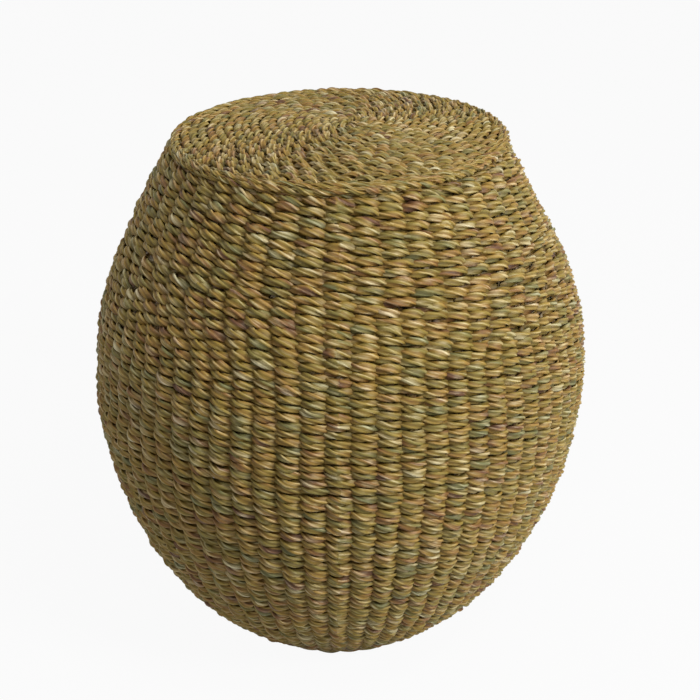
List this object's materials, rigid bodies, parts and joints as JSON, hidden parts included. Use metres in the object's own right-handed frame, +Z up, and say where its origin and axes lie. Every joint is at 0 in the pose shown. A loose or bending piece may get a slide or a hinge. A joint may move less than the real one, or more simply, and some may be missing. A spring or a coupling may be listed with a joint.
{
  "type": "woven laundry basket",
  "caption": "Round, full-bellied laundry basket of twined seagrass with a flush woven lid that lifts off.",
  "frame": {"origin": "centre of the base, on the floor the basket stands on", "axes": "+Z up through the middle of the base, the mouth and the lid; the basket is round, so +X and +Y are level and equal"},
  "size_m": [0.4799, 0.48, 0.5161],
  "materials": {
    "weft": "twined seagrass strand, matt with a dry sheen",
    "stakes": "twisted seagrass core, matt",
    "border": "bound seagrass, matt",
    "hoop": "peeled rattan, satin"
  },
  "bodies": {
    "basket": {"base_weave": "weft", "base_sticks": "stakes", "foot_course": "border", "main_stakes": "stakes", "side_stakes": "stakes", "lower_courses": "weft", "belly_courses": "weft", "shoulder_courses": "weft", "mouth_border": "border", "mouth_hoop": "hoop"},
    "lid": {"lid_weave": "weft", "lid_sticks": "stakes", "lid_border": "border", "lid_hoop": "hoop", "locating_ring": "border"}
  },
  "joints": [
    {"name": "lid_lift", "type": "slide", "parent": "basket", "child": "lid", "axis": [0, 0, 1], "range_m": [0, 0.25]}
  ]
}
